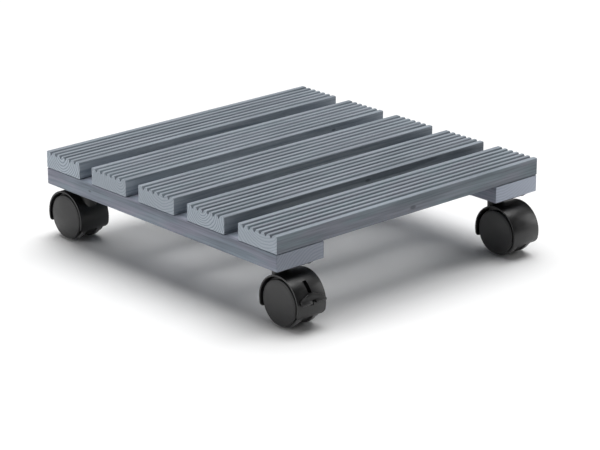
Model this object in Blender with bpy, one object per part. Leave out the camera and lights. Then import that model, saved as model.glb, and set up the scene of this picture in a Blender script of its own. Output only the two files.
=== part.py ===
"""Plant pot caddy: five grooved slats on two battens, rolling on four hooded twin-wheel castors.

Units are metres, +Z is up. X runs along the slats and Y across them. The origin is on the
floor, under the centre of the deck. Two castors, diagonally opposite, have a brake pedal.
"""

import math

import bmesh
import bpy
from mathutils import Matrix, Vector

MM = 0.001
GAP = 0.3 * MM  # air left between pieces that touch on the real caddy

# Deck
DECK_SIDE = 290 * MM
TOTAL_HEIGHT = 79.5 * MM
SLAT_COUNT = 5
SLAT_WIDTH = 45 * MM
SLAT_THICKNESS = 14.5 * MM
BATTEN_WIDTH = 49 * MM
BATTEN_THICKNESS = 14.5 * MM
RIBS_PER_SLAT = 7
GROOVE_DEPTH = 2.8 * MM
GROOVE_FLOOR = 1.4 * MM
RIB_LAND = 2.0 * MM
RIB_CORNER = 0.9 * MM
SLAT_EDGE = 1.0 * MM
BATTEN_EDGE = 0.8 * MM

SLAT_PITCH = (DECK_SIDE - SLAT_WIDTH) / (SLAT_COUNT - 1)
SLAT_BOTTOM = TOTAL_HEIGHT - SLAT_THICKNESS
BATTEN_TOP = SLAT_BOTTOM - GAP
BATTEN_BOTTOM = SLAT_BOTTOM - BATTEN_THICKNESS
BATTEN_X = (DECK_SIDE - BATTEN_WIDTH) / 2

# Castors. Castor coordinates: u along the axle, v towards the trailing side, w up,
# with the swivel axis at v = 0 and the floor at w = 0.
SWIVEL_INSET = 23 * MM
TRAIL = 13.5 * MM
WHEEL_RADIUS = 20.5 * MM
HOOD_RADIUS = 22.7 * MM
HOOD_INNER_RADIUS = 21.2 * MM
HOOD_HALF_WIDTH = 14.8 * MM
HOOD_END_ANGLE = math.radians(-22)
HOOD_CORNER = 3.0 * MM
WEB_HALF_WIDTH = 5.5 * MM
WEB_LOWER_RADIUS = 19.0 * MM
WEB_STEP_ANGLE = math.radians(1.5)  # the web narrows this far above the hood's lower edges
NECK_RADIUS = 7 * MM
NECK_START = 11.7 * MM
AXLE_RADIUS = 2.0 * MM
AXLE_HALF_LENGTH = 12.6 * MM
BORE_CLEARANCE = 0.25 * MM

PLATE_SIDE = 38 * MM
PLATE_THICKNESS = 2.0 * MM
PLATE_CORNER = 4 * MM
PLATE_HOLE_OFFSET = 14.5 * MM
PLATE_TOP = BATTEN_BOTTOM - GAP
PLATE_BOTTOM = PLATE_TOP - PLATE_THICKNESS
NECK_TOP = PLATE_BOTTOM - 0.5 * MM

KINGPIN_RADIUS = 3.5 * MM
KINGPIN_BOTTOM = 26 * MM
KINGPIN_GROOVE_Z = 31 * MM
KINGPIN_GROOVE_DEPTH = 0.6 * MM
KINGPIN_GROOVE_HALF_WIDTH = 0.8 * MM

# Wheels
WHEEL_INNER_FACE = 5.9 * MM
WHEEL_INNER_EDGE = 0.6 * MM
WHEEL_CUP_FLOOR = 11.9 * MM
WHEEL_RIM_INNER_RADIUS = 18.3 * MM
WHEEL_TREAD_END = 11.4 * MM
WHEEL_FACE_RADIUS = 19.3 * MM
WHEEL_FACE_EDGE = 14.2 * MM
WHEEL_DOME = 16.0 * MM
WHEEL_HUB_RADIUS = 4.5 * MM
WHEEL_BORE_END = 12.9 * MM
WHEEL_SEGMENTS = 28

# Brake lever. Angles are measured about the axle, from the trailing side upwards.
SLOT_HALF_WIDTH = 1.8 * MM
SLOT_LOW = math.radians(3)
SLOT_HIGH = math.radians(55)
POCKET_RADIUS = 5.6 * MM
POCKET_HIGH = math.radians(93)
POCKET_OUTER_RADIUS = 19.2 * MM
WINDOW_LOW = math.radians(48)
WINDOW_HIGH = math.radians(90)
WINDOW_INNER_RADIUS = 11.2 * MM
LEVER_HALF_THICKNESS = 1.5 * MM
LEVER_EYE_RADIUS = 2.9 * MM
PIVOT_RADIAL = 9 * MM
PIVOT_ANGLE = math.radians(38)
TRUNNION_RADIUS = 1.5 * MM
TRUNNION_HALF_LENGTH = 5.2 * MM
SHOE_RADIAL = 16.8 * MM
SHOE_ANGLE = math.radians(60)
SHOE_RADIUS = 1.1 * MM
SHOE_ARM_RADIUS = 1.6 * MM
SHOE_HALF_LENGTH = 8.0 * MM
PEDAL_HALF_WIDTH = 12.4 * MM
PEDAL_TIP_RADIUS = 26.2 * MM
PEDAL_TOP_ANGLE = math.radians(27)
PEDAL_LOW_ANGLE = math.radians(5)
PEDAL_LOW_EDGE = 3.2 * MM

# Fasteners
SCREW_RADIUS = 1.75 * MM
SCREW_HEAD_RADIUS = 3.4 * MM
SCREW_CONE = 2.2 * MM
SCREW_TIP = 3.0 * MM
SCREW_HEAD_EDGE = 0.3 * MM
SCREW_HEAD_RECESS = 0.4 * MM
PLATE_SCREW_LENGTH = 13 * MM
SLAT_SCREW_LENGTH = 22 * MM
SLAT_SCREW_INSET = 38 * MM  # least distance from the deck's edge
SCREW_SEGMENTS = 8
SCREW_HOLE_EXTRA = 0.4 * MM

# Name, side of the deck along X, side along Y, and whether it has a brake.
CASTORS = (
    ("front", -1, -1, True),
    ("left", -1, 1, False),
    ("right", 1, -1, False),
    ("back", 1, 1, True),
)


def clear_scene():
    for obj in list(bpy.data.objects):
        bpy.data.objects.remove(obj, do_unlink=True)


def make_material(name, colour, roughness, metallic=0.0):
    material = bpy.data.materials.new(name)
    material.use_nodes = True
    shader = material.node_tree.nodes["Principled BSDF"]
    shader.inputs["Base Color"].default_value = (*colour, 1.0)
    shader.inputs["Roughness"].default_value = roughness
    shader.inputs["Metallic"].default_value = metallic
    return material


def polar(radius, angle):
    return Vector((radius * math.cos(angle), radius * math.sin(angle)))


def arc(centre, radius, start, end, steps):
    """Points on a round stretch of an outline, ends included."""
    return [Vector(centre) + polar(radius, start + (end - start) * i / steps) for i in range(steps + 1)]


def mesh_object(name, bm, material=None, smooth=False):
    bmesh.ops.recalc_face_normals(bm, faces=bm.faces)
    mesh = bpy.data.meshes.new(name)
    bm.to_mesh(mesh)
    bm.free()
    obj = bpy.data.objects.new(name, mesh)
    bpy.context.collection.objects.link(obj)
    if material:
        mesh.materials.append(material)
    if smooth:
        mesh.shade_smooth()
        mesh.set_sharp_from_angle(angle=math.radians(35))
    return obj


def prism(outline, low, high, to_world):
    """A closed outline of 2-D points, extruded from low to high. to_world(point, depth) is 3-D."""
    bm = bmesh.new()
    bottom = [bm.verts.new(to_world(point, low)) for point in outline]
    top = [bm.verts.new(to_world(point, high)) for point in outline]
    bm.faces.new(bottom)
    bm.faces.new(top)
    for i in range(len(outline)):
        j = (i + 1) % len(outline)
        bm.faces.new((bottom[i], bottom[j], top[j], top[i]))
    return bm


def along_x(point, depth):
    return Vector((depth, point[0], point[1]))


def along_y(point, depth):
    return Vector((point[0], depth, point[1]))


def along_z(point, depth):
    return Vector((point[0], point[1], depth))


def turned(profile, segments, axis="Z"):
    """A closed profile of (radius, height) points, turned about an axis. Radius 0 is on the axis."""
    bm = bmesh.new()
    rings = []
    for radius, height in profile:
        count = 1 if radius == 0 else segments
        ring = []
        for i in range(count):
            spot = polar(radius, 2 * math.pi * i / segments)
            place = (height, spot.x, spot.y) if axis == "X" else (spot.x, spot.y, height)
            ring.append(bm.verts.new(place))
        rings.append(ring)
    for first, second in zip(rings, rings[1:] + rings[:1]):
        for i in range(segments):
            j = (i + 1) % segments
            corners = [first[i % len(first)], first[j % len(first)]]
            corners += [second[j % len(second)], second[i % len(second)]]
            distinct = list(dict.fromkeys(corners))
            if len(distinct) > 2:
                bm.faces.new(distinct)
    return bm


def cut(obj, cutters, operation="DIFFERENCE"):
    """Apply one Boolean for each cutter and remove the cutters."""
    for cutter in cutters:
        modifier = obj.modifiers.new(operation.title(), "BOOLEAN")
        modifier.operation = operation
        modifier.solver = "EXACT"
        modifier.object = cutter
        view_mesh = bpy.data.meshes.new_from_object(obj.evaluated_get(bpy.context.evaluated_depsgraph_get()))
        obj.modifiers.clear()
        old_mesh = obj.data
        obj.data = view_mesh
        view_mesh.name = obj.name
        bpy.data.meshes.remove(old_mesh)
        bpy.data.objects.remove(cutter, do_unlink=True)


def place(obj, location, parent=None):
    obj.location = location
    obj.parent = parent
    return obj


# ---------------------------------------------------------------- deck

def slat_outline():
    """Section across a slat, in (y, z) from its centre and its underside."""
    half = SLAT_WIDTH / 2
    top = SLAT_THICKNESS
    floor = top - GROOVE_DEPTH
    rib_pitch = SLAT_WIDTH / RIBS_PER_SLAT
    points = [Vector((half - SLAT_EDGE, 0)), Vector((half, SLAT_EDGE)), Vector((half, top - SLAT_EDGE))]
    for rib in range(RIBS_PER_SLAT):
        centre = half - rib_pitch * (rib + 0.5)
        right_land = half - 2 * SLAT_EDGE if rib == 0 else centre + RIB_LAND / 2
        left_land = -half + 2 * SLAT_EDGE if rib == RIBS_PER_SLAT - 1 else centre - RIB_LAND / 2
        if rib > 0:
            points.append(Vector((centre + RIB_LAND / 2 + RIB_CORNER * 0.8, top - RIB_CORNER)))
        points.append(Vector((right_land, top)))
        points.append(Vector((left_land, top)))
        if rib < RIBS_PER_SLAT - 1:
            valley = centre - rib_pitch / 2
            points.append(Vector((centre - RIB_LAND / 2 - RIB_CORNER * 0.8, top - RIB_CORNER)))
            points.append(Vector((valley + GROOVE_FLOOR / 2, floor)))
            points.append(Vector((valley - GROOVE_FLOOR / 2, floor)))
    points += [Vector((-half, top - SLAT_EDGE)), Vector((-half, SLAT_EDGE)), Vector((-half + SLAT_EDGE, 0))]
    return points


def slat_y(index):
    """Slat 1 is the near one (-Y)."""
    return -DECK_SIDE / 2 + SLAT_WIDTH / 2 + index * SLAT_PITCH


def slat_screw_y(index):
    """Outer slats are screwed on their inner part, clear of the castors' kingpins."""
    limit = DECK_SIDE / 2 - SLAT_SCREW_INSET
    return max(-limit, min(limit, slat_y(index)))


def screw_hole(x, y, low, high):
    radius = SCREW_RADIUS + SCREW_HOLE_EXTRA
    bm = turned([(0, low), (radius, low), (radius, high), (0, high)], SCREW_SEGMENTS)
    return place(mesh_object("cutter", bm), (x, y, 0))


def countersink(x, y, face_z):
    """A cone opening downwards through the face at face_z."""
    mouth = SCREW_HEAD_RADIUS + SCREW_HOLE_EXTRA
    neck = SCREW_RADIUS + SCREW_HOLE_EXTRA
    straight = face_z + SCREW_HEAD_RECESS + SCREW_HOLE_EXTRA
    profile = [(0, face_z - MM), (mouth, face_z - MM), (mouth, straight)]
    profile += [(neck, straight + SCREW_CONE), (0, straight + SCREW_CONE)]
    return place(mesh_object("cutter", turned(profile, SCREW_SEGMENTS)), (x, y, 0))


def make_slat(index, material):
    bm = prism(slat_outline(), -DECK_SIDE / 2, DECK_SIDE / 2, along_x)
    slat = mesh_object(f"slat_{index + 1}", bm, material)
    place(slat, (0, slat_y(index), SLAT_BOTTOM))
    tip = BATTEN_BOTTOM + SCREW_HEAD_RECESS + SLAT_SCREW_LENGTH + SCREW_HOLE_EXTRA
    holes = []
    for side in (-1, 1):
        holes.append(screw_hole(side * BATTEN_X, slat_screw_y(index), SLAT_BOTTOM - MM, tip))
    bpy.context.view_layer.update()
    cut(slat, holes)
    return slat


def plate_screw_places(side_x, side_y):
    centre_x = side_x * BATTEN_X
    centre_y = side_y * (DECK_SIDE / 2 - SWIVEL_INSET)
    offsets = (-PLATE_HOLE_OFFSET, PLATE_HOLE_OFFSET)
    return [(centre_x + dx, centre_y + dy) for dx in offsets for dy in offsets]


def make_batten(name, side_x, material):
    half = BATTEN_WIDTH / 2
    outline = [(-half, BATTEN_BOTTOM + BATTEN_EDGE), (-half + BATTEN_EDGE, BATTEN_BOTTOM)]
    outline += [(half - BATTEN_EDGE, BATTEN_BOTTOM), (half, BATTEN_BOTTOM + BATTEN_EDGE)]
    outline += [(half, BATTEN_TOP), (-half, BATTEN_TOP)]
    bm = prism(outline, -DECK_SIDE / 2, DECK_SIDE / 2, along_y)
    batten = place(mesh_object(name, bm, material), (side_x * BATTEN_X, 0, 0))
    cutters = []
    for index in range(SLAT_COUNT):
        y = slat_screw_y(index)
        cutters.append(screw_hole(side_x * BATTEN_X, y, BATTEN_BOTTOM - MM, BATTEN_TOP + MM))
        cutters.append(countersink(side_x * BATTEN_X, y, BATTEN_BOTTOM))
    tip = PLATE_BOTTOM + PLATE_SCREW_LENGTH + SCREW_HOLE_EXTRA
    for side_y in (-1, 1):
        for x, y in plate_screw_places(side_x, side_y):
            cutters.append(screw_hole(x, y, BATTEN_BOTTOM - MM, tip))
    bpy.context.view_layer.update()
    cut(batten, cutters)
    return batten


def make_screw(name, x, y, head_z, length, material):
    """A countersunk wood screw standing on its head, point up."""
    profile = [(0, 0), (SCREW_HEAD_RADIUS, 0), (SCREW_HEAD_RADIUS, SCREW_HEAD_EDGE)]
    profile += [(SCREW_RADIUS, SCREW_CONE), (SCREW_RADIUS, length - SCREW_TIP), (0, length)]
    screw = mesh_object(name, turned(profile, SCREW_SEGMENTS), material, smooth=True)
    return place(screw, (x, y, head_z))


# ---------------------------------------------------------------- castors

def rounded_square(side, corner, steps=2):
    half = side / 2 - corner
    points = []
    for quarter in range(4):
        start = quarter * math.pi / 2
        centre = (half * (1 if quarter in (0, 3) else -1), half * (1 if quarter in (0, 1) else -1))
        points += arc(centre, corner, start, start + math.pi / 2, steps)
    return points


def make_plate(name, material):
    bm = prism(rounded_square(PLATE_SIDE, PLATE_CORNER), PLATE_BOTTOM, PLATE_TOP, along_z)
    plate = mesh_object(name, bm, material)
    cutters = []
    for dx in (-PLATE_HOLE_OFFSET, PLATE_HOLE_OFFSET):
        for dy in (-PLATE_HOLE_OFFSET, PLATE_HOLE_OFFSET):
            cutters.append(screw_hole(dx, dy, PLATE_BOTTOM - MM, PLATE_TOP + MM))
    radius = KINGPIN_RADIUS + GAP
    bore = turned([(0, 0), (radius, 0), (radius, TOTAL_HEIGHT), (0, TOTAL_HEIGHT)], 16)
    cutters.append(mesh_object("cutter", bore))
    bpy.context.view_layer.update()
    cut(plate, cutters)
    return plate


def make_kingpin(name, material):
    """A steel pin with the groove that its hood snaps into."""
    groove_radius = KINGPIN_RADIUS - KINGPIN_GROOVE_DEPTH
    low = KINGPIN_GROOVE_Z - KINGPIN_GROOVE_HALF_WIDTH
    high = KINGPIN_GROOVE_Z + KINGPIN_GROOVE_HALF_WIDTH
    profile = [(0, KINGPIN_BOTTOM), (KINGPIN_RADIUS - MM, KINGPIN_BOTTOM)]
    profile += [(KINGPIN_RADIUS, KINGPIN_BOTTOM + MM), (KINGPIN_RADIUS, low)]
    profile += [(groove_radius, low), (groove_radius, high), (KINGPIN_RADIUS, high)]
    profile += [(KINGPIN_RADIUS, PLATE_TOP), (0, PLATE_TOP)]
    return mesh_object(name, turned(profile, 14), material, smooth=True)


def hood_shell():
    """The part-cylinder over both wheels, its lower corners rounded. Its axis is the axle."""
    sweep_low = HOOD_END_ANGLE
    sweep_high = math.pi - HOOD_END_ANGLE
    corner_angle = HOOD_CORNER / HOOD_RADIUS
    corner_steps = 3
    angles = [sweep_low + corner_angle * (1 - math.cos(math.pi / 2 * i / corner_steps))
              for i in range(corner_steps + 1)]
    middle_steps = 22
    start = angles[-1]
    angles += [start + (math.pi - 2 * start) * i / middle_steps for i in range(1, middle_steps)]
    angles += [math.pi - angle for angle in reversed(angles[:corner_steps + 1])]
    bm = bmesh.new()
    rings = []
    for angle in angles:
        from_end = min(angle - sweep_low, sweep_high - angle)
        share = max(0.0, 1 - from_end / corner_angle)
        half = HOOD_HALF_WIDTH - HOOD_CORNER * (1 - math.sqrt(1 - share ** 2))
        ring = []
        for u, radius in ((-half, HOOD_RADIUS), (half, HOOD_RADIUS), (half, HOOD_INNER_RADIUS),
                          (-half, HOOD_INNER_RADIUS)):
            spot = polar(radius, angle)
            ring.append(bm.verts.new((u, spot.x, spot.y)))
        rings.append(ring)
    for first, second in zip(rings, rings[1:]):
        for i in range(4):
            j = (i + 1) % 4
            bm.faces.new((first[i], first[j], second[j], second[i]))
    bm.faces.new(rings[0])
    bm.faces.new(rings[-1])
    return bm


def web_outline():
    """The disc-shaped body between the wheels: it fills the hood and ends just short of the floor."""
    radius = (HOOD_INNER_RADIUS + HOOD_RADIUS) / 2
    low = HOOD_END_ANGLE + WEB_STEP_ANGLE
    high = math.pi - low
    return arc((0, 0), radius, low, high, 24) + arc((0, 0), WEB_LOWER_RADIUS, high, 2 * math.pi + low, 14)


def sector(inner, outer, low, high, steps=6):
    return arc((0, 0), outer, low, high, steps) + arc((0, 0), inner, high, low, steps)


def make_hood(name, material, has_brake):
    """Hood, web and neck in one moulding, in axle coordinates (u, v, w from the axle)."""
    hood = mesh_object(name, hood_shell(), material)
    web = mesh_object("web", prism(web_outline(), -WEB_HALF_WIDTH, WEB_HALF_WIDTH, along_x))
    neck_top = NECK_TOP - WHEEL_RADIUS
    neck_profile = [(0, NECK_START), (NECK_RADIUS, NECK_START), (NECK_RADIUS, neck_top), (0, neck_top)]
    neck_bm = turned(neck_profile, 20)
    neck = place(mesh_object("neck", neck_bm), (0, -TRAIL, 0))
    wheel_room = []
    room_radius = HOOD_INNER_RADIUS - 0.1 * MM
    for side in (-1, 1):
        low, high = sorted((side * WEB_HALF_WIDTH, side * (HOOD_HALF_WIDTH + MM)))
        bm = turned([(0, low), (room_radius, low), (room_radius, high), (0, high)], 48, "X")
        wheel_room.append(mesh_object("cutter", bm))
    bpy.context.view_layer.update()
    cut(neck, wheel_room)
    cut(hood, [web, neck], "UNION")
    pin_radius = KINGPIN_RADIUS + BORE_CLEARANCE
    pin_low = KINGPIN_BOTTOM - WHEEL_RADIUS - MM
    pin_bm = turned([(0, pin_low), (pin_radius, pin_low), (pin_radius, TOTAL_HEIGHT), (0, TOTAL_HEIGHT)], 16)
    axle_radius = AXLE_RADIUS + BORE_CLEARANCE
    width = 2 * HOOD_HALF_WIDTH
    axle_bm = turned([(0, -width), (axle_radius, -width), (axle_radius, width), (0, width)], 16, "X")
    cutters = [place(mesh_object("cutter", pin_bm), (0, -TRAIL, 0)), mesh_object("cutter", axle_bm)]
    if has_brake:
        cutters += brake_cutters()
    bpy.context.view_layer.update()
    cut(hood, cutters)
    hood.data.shade_smooth()
    hood.data.set_sharp_from_angle(angle=math.radians(35))
    return hood


def brake_cutters():
    """The slot in the hood, the lever's pocket in the web, the shoe's window and the pivot holes."""
    slot = sector(POCKET_RADIUS, HOOD_RADIUS + 2 * MM, SLOT_LOW, SLOT_HIGH)
    pocket = sector(POCKET_RADIUS, POCKET_OUTER_RADIUS, SLOT_HIGH - 0.1, POCKET_HIGH)
    window = sector(WINDOW_INNER_RADIUS, POCKET_OUTER_RADIUS, WINDOW_LOW, WINDOW_HIGH)
    through = WEB_HALF_WIDTH + MM
    cutters = [
        mesh_object("cutter", prism(slot, -SLOT_HALF_WIDTH, SLOT_HALF_WIDTH, along_x)),
        mesh_object("cutter", prism(pocket, -SLOT_HALF_WIDTH, SLOT_HALF_WIDTH, along_x)),
        mesh_object("cutter", prism(window, -through, through, along_x)),
    ]
    radius = TRUNNION_RADIUS + GAP
    bm = turned([(0, -through), (radius, -through), (radius, through), (0, through)], 12, "X")
    pivot = polar(PIVOT_RADIAL, PIVOT_ANGLE)
    cutters.append(place(mesh_object("cutter", bm), (0, pivot.x, pivot.y)))
    return cutters


def wheel_profile():
    """(radius, u) round a cup-shaped wheel, open towards the web, with a blind bore in its hub."""
    bore = AXLE_RADIUS + BORE_CLEARANCE
    rise = WHEEL_DOME - WHEEL_FACE_EDGE
    dome_radius = (WHEEL_FACE_RADIUS ** 2 + rise ** 2) / (2 * rise)
    dome = []
    for share in (1.0, 0.8, 0.5):
        radius = WHEEL_FACE_RADIUS * share
        dome.append((radius, WHEEL_DOME - dome_radius + math.sqrt(dome_radius ** 2 - radius ** 2)))
    profile = [(0, WHEEL_BORE_END), (bore, WHEEL_BORE_END)]
    profile += [(bore, WHEEL_INNER_FACE), (WHEEL_HUB_RADIUS, WHEEL_INNER_FACE)]
    profile += [(WHEEL_HUB_RADIUS, WHEEL_CUP_FLOOR), (WHEEL_RIM_INNER_RADIUS, WHEEL_CUP_FLOOR)]
    profile += [(WHEEL_RIM_INNER_RADIUS, WHEEL_INNER_FACE)]
    profile += [(WHEEL_RADIUS - WHEEL_INNER_EDGE, WHEEL_INNER_FACE)]
    profile += [(WHEEL_RADIUS, WHEEL_INNER_FACE + WHEEL_INNER_EDGE), (WHEEL_RADIUS, WHEEL_TREAD_END)]
    return profile + dome + [(0, WHEEL_DOME)]


def make_wheel(name, side, material):
    profile = [(radius, side * u) for radius, u in wheel_profile()]
    return mesh_object(name, turned(profile, WHEEL_SEGMENTS, "X"), material, smooth=True)


def make_axle(name, material):
    end = AXLE_HALF_LENGTH
    chamfer = 0.4 * MM
    profile = [(0, -end), (AXLE_RADIUS - chamfer, -end), (AXLE_RADIUS, -end + chamfer)]
    profile += [(AXLE_RADIUS, end - chamfer), (AXLE_RADIUS - chamfer, end), (0, end)]
    return mesh_object(name, turned(profile, 12, "X"), material, smooth=True)


def lever_plate_outline():
    """Side view of the lever between its pedal, pivot and shoe, in (v, w) from the axle."""
    pivot = polar(PIVOT_RADIAL, PIVOT_ANGLE)
    shoe = polar(SHOE_RADIAL, SHOE_ANGLE)
    points = [polar(HOOD_RADIUS + 1.6 * MM, math.radians(15.5))]
    points.append(polar(HOOD_RADIUS + 0.6 * MM, PEDAL_TOP_ANGLE))
    points += arc(pivot, LEVER_EYE_RADIUS, math.radians(45), math.radians(55), 1)
    points += arc(shoe, SHOE_ARM_RADIUS, math.radians(-10), math.radians(170), 5)
    points += arc(pivot, LEVER_EYE_RADIUS, math.radians(170), math.radians(275), 4)
    return points


def pedal_side_outline():
    """Side view of the pedal: a ledge that leaves the hood's curve and ends in a lip."""
    clear = HOOD_RADIUS + 0.4 * MM
    points = arc((0, 0), clear, PEDAL_LOW_ANGLE, PEDAL_TOP_ANGLE, 5)
    points.append(polar(clear + 0.8 * MM, PEDAL_TOP_ANGLE))
    points.append(polar(clear + 1.0 * MM, math.radians(21)))
    points.append(polar(clear + 1.7 * MM, math.radians(16)))
    points.append(polar(PEDAL_TIP_RADIUS, math.radians(10.5)))
    points.append(polar(PEDAL_TIP_RADIUS - 0.2 * MM, math.radians(8)))
    points.append(polar(clear + 0.8 * MM, PEDAL_LOW_ANGLE))
    return points


def pedal_front_outline():
    """Front view of the pedal: highest in the middle, falling to both ends, notched below, in (u, w)."""
    low = PEDAL_LOW_EDGE
    end = PEDAL_HALF_WIDTH
    right = [(1.9 * MM, low + 2.8 * MM), (2.3 * MM, low), (end - 1.2 * MM, low), (end, low + 1.2 * MM)]
    right += [(end, low + 3.2 * MM), (end - 1.6 * MM, low + 4.2 * MM), (5.5 * MM, 9.2 * MM)]
    right += [(2.4 * MM, 10.4 * MM), (1.6 * MM, 11.8 * MM)]
    left = [(-u, w) for u, w in reversed(right)]
    return right + left


def make_lever(name, material):
    """Pedal, arm, pivot trunnions and brake shoe in one moulding, with its origin on the pivot."""
    pedal = prism(pedal_side_outline(), -PEDAL_HALF_WIDTH, PEDAL_HALF_WIDTH, along_x)
    lever = mesh_object(name, pedal, material)
    front = prism(pedal_front_outline(), 0, 2 * HOOD_RADIUS, along_y)
    cut(lever, [mesh_object("front", front)], "INTERSECT")
    plate = prism(lever_plate_outline(), -LEVER_HALF_THICKNESS, LEVER_HALF_THICKNESS, along_x)
    pivot = polar(PIVOT_RADIAL, PIVOT_ANGLE)
    shoe = polar(SHOE_RADIAL, SHOE_ANGLE)
    extras = [mesh_object("plate", plate)]
    pins = ((pivot, TRUNNION_RADIUS, TRUNNION_HALF_LENGTH), (shoe, SHOE_RADIUS, SHOE_HALF_LENGTH))
    for spot, radius, half in pins:
        bm = turned([(0, -half), (radius, -half), (radius, half), (0, half)], 12, "X")
        extras.append(place(mesh_object("pin", bm), (0, spot.x, spot.y)))
    bpy.context.view_layer.update()
    cut(lever, extras, "UNION")
    lever.data.transform(Matrix.Translation((0, -pivot.x, -pivot.y)))
    return lever


def make_castor(name, side_x, side_y, has_brake, materials):
    """One castor under an empty on its swivel axis, turned so that it trails outwards."""
    swivel = bpy.data.objects.new(f"{name}_castor_place", None)
    bpy.context.collection.objects.link(swivel)
    swivel.location = (side_x * BATTEN_X, side_y * (DECK_SIDE / 2 - SWIVEL_INSET), 0)
    swivel.rotation_euler = (0, 0, 0 if side_y > 0 else math.pi)
    axle_place = (0, TRAIL, WHEEL_RADIUS)
    place(make_plate(f"{name}_castor_plate", materials["steel"]), (0, 0, 0), swivel)
    place(make_kingpin(f"{name}_kingpin", materials["steel"]), (0, 0, 0), swivel)
    place(make_hood(f"{name}_hood", materials["nylon"], has_brake), axle_place, swivel)
    place(make_axle(f"{name}_axle", materials["steel"]), axle_place, swivel)
    outer_u = side_x if side_y > 0 else -side_x
    for side, label in ((outer_u, "outer_wheel"), (-outer_u, "inner_wheel")):
        place(make_wheel(f"{name}_{label}", side, materials["wheel"]), axle_place, swivel)
    if has_brake:
        pivot = polar(PIVOT_RADIAL, PIVOT_ANGLE)
        lever_place = Vector(axle_place) + Vector((0, pivot.x, pivot.y))
        place(make_lever(f"{name}_brake_lever", materials["nylon"]), lever_place, swivel)
    for index, (x, y) in enumerate(plate_screw_places(side_x, side_y)):
        screw_name = f"{name}_plate_screw_{index + 1}"
        make_screw(screw_name, x, y, PLATE_BOTTOM - SCREW_CONE, PLATE_SCREW_LENGTH, materials["screw"])


def main():
    clear_scene()
    materials = {
        "wood": make_material("stained_wood", (0.20, 0.23, 0.27), 0.65),
        "nylon": make_material("black_nylon", (0.02, 0.02, 0.02), 0.45),
        "wheel": make_material("wheel_nylon", (0.03, 0.03, 0.03), 0.4),
        "steel": make_material("zinc_steel", (0.6, 0.6, 0.6), 0.35, 1.0),
        "screw": make_material("zinc_screw", (0.65, 0.64, 0.6), 0.35, 1.0),
    }
    for index in range(SLAT_COUNT):
        make_slat(index, materials["wood"])
    for name, side_x in (("batten_left", -1), ("batten_right", 1)):
        make_batten(name, side_x, materials["wood"])
        head_z = BATTEN_BOTTOM + SCREW_HEAD_RECESS
        side = name.removeprefix("batten_")
        for index in range(SLAT_COUNT):
            x = side_x * BATTEN_X
            screw_name = f"{side}_slat_screw_{index + 1}"
            make_screw(screw_name, x, slat_screw_y(index), head_z, SLAT_SCREW_LENGTH, materials["screw"])
    for name, side_x, side_y, has_brake in CASTORS:
        make_castor(name, side_x, side_y, has_brake, materials)


main()
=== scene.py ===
"""Looks for the plant pot caddy: grey-blue stained grooved slats on two battens, and four black
hooded twin-wheel castors. Lengths are metres, and every piece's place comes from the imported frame."""

import math
from collections import namedtuple

import bmesh
import bpy
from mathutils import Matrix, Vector


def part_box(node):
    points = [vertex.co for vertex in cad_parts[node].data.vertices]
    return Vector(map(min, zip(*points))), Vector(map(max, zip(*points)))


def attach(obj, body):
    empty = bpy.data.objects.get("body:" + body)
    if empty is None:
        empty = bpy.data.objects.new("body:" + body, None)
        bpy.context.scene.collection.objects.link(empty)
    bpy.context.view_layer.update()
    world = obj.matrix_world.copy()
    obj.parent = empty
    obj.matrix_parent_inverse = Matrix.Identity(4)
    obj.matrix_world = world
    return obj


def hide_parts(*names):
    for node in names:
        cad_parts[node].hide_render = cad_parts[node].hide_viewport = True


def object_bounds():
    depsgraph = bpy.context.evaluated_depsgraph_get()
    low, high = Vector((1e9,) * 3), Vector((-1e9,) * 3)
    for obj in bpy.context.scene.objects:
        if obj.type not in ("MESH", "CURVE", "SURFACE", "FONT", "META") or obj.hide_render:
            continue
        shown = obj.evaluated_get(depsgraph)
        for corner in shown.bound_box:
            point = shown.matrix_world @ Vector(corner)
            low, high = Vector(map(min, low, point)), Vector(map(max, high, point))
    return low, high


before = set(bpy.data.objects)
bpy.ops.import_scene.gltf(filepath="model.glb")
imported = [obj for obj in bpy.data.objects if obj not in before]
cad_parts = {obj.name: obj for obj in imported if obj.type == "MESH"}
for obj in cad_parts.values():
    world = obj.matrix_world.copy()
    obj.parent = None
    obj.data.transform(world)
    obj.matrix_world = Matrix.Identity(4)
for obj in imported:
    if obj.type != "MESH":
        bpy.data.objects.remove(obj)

cad_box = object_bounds()

MM = 0.001
CASTORS = ("front", "left", "right", "back")
BRAKED = ("front", "back")
WHEEL_LABELS = ("outer_wheel", "inner_wheel")

# Slats
RIBS = 7
GROOVE_DEPTH = 2.8 * MM
CROWN_HALF = 0.85 * MM  # flat part of a rib's crown
SHOULDER_RADIUS = 0.75 * MM
VALLEY_RADIUS = 0.75 * MM
WALL_SLOPE = math.radians(72)
END_EASE = 0.35 * MM
SIDE_EASE = 0.9 * MM

# Castors, in axle coordinates: u along the axle, v towards the trailing side, w up
HOOD_WALL = 1.5 * MM
HOOD_END_ANGLE = math.radians(-22)
HOOD_CORNER = 3.0 * MM
HOOD_RIM_ROUND = 0.45 * MM
WEB_HALF_WIDTH = 5.5 * MM
WEB_LOWER_RADIUS = 19.0 * MM
WEB_STEP_ANGLE = math.radians(1.5)
NECK_RADIUS = 7.0 * MM
NECK_START = 11.7 * MM
AXLE_HOLE_RADIUS = 2.2 * MM
TREAD_RADIUS = 19.2 * MM  # the wheels' rolled surface starts here
KINGPIN_HOLE_RADIUS = 3.8 * MM
SLOT_HALF_WIDTH = 1.8 * MM
SLOT_LOW = math.radians(3)
SLOT_HIGH = math.radians(55)
POCKET_RADIUS = 5.6 * MM
POCKET_HIGH = math.radians(93)
POCKET_OUTER_RADIUS = 19.2 * MM
WINDOW_LOW = math.radians(48)
WINDOW_HIGH = math.radians(90)
WINDOW_INNER_RADIUS = 11.2 * MM
PIVOT_RADIAL = 9 * MM
PIVOT_ANGLE = math.radians(38)
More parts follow.
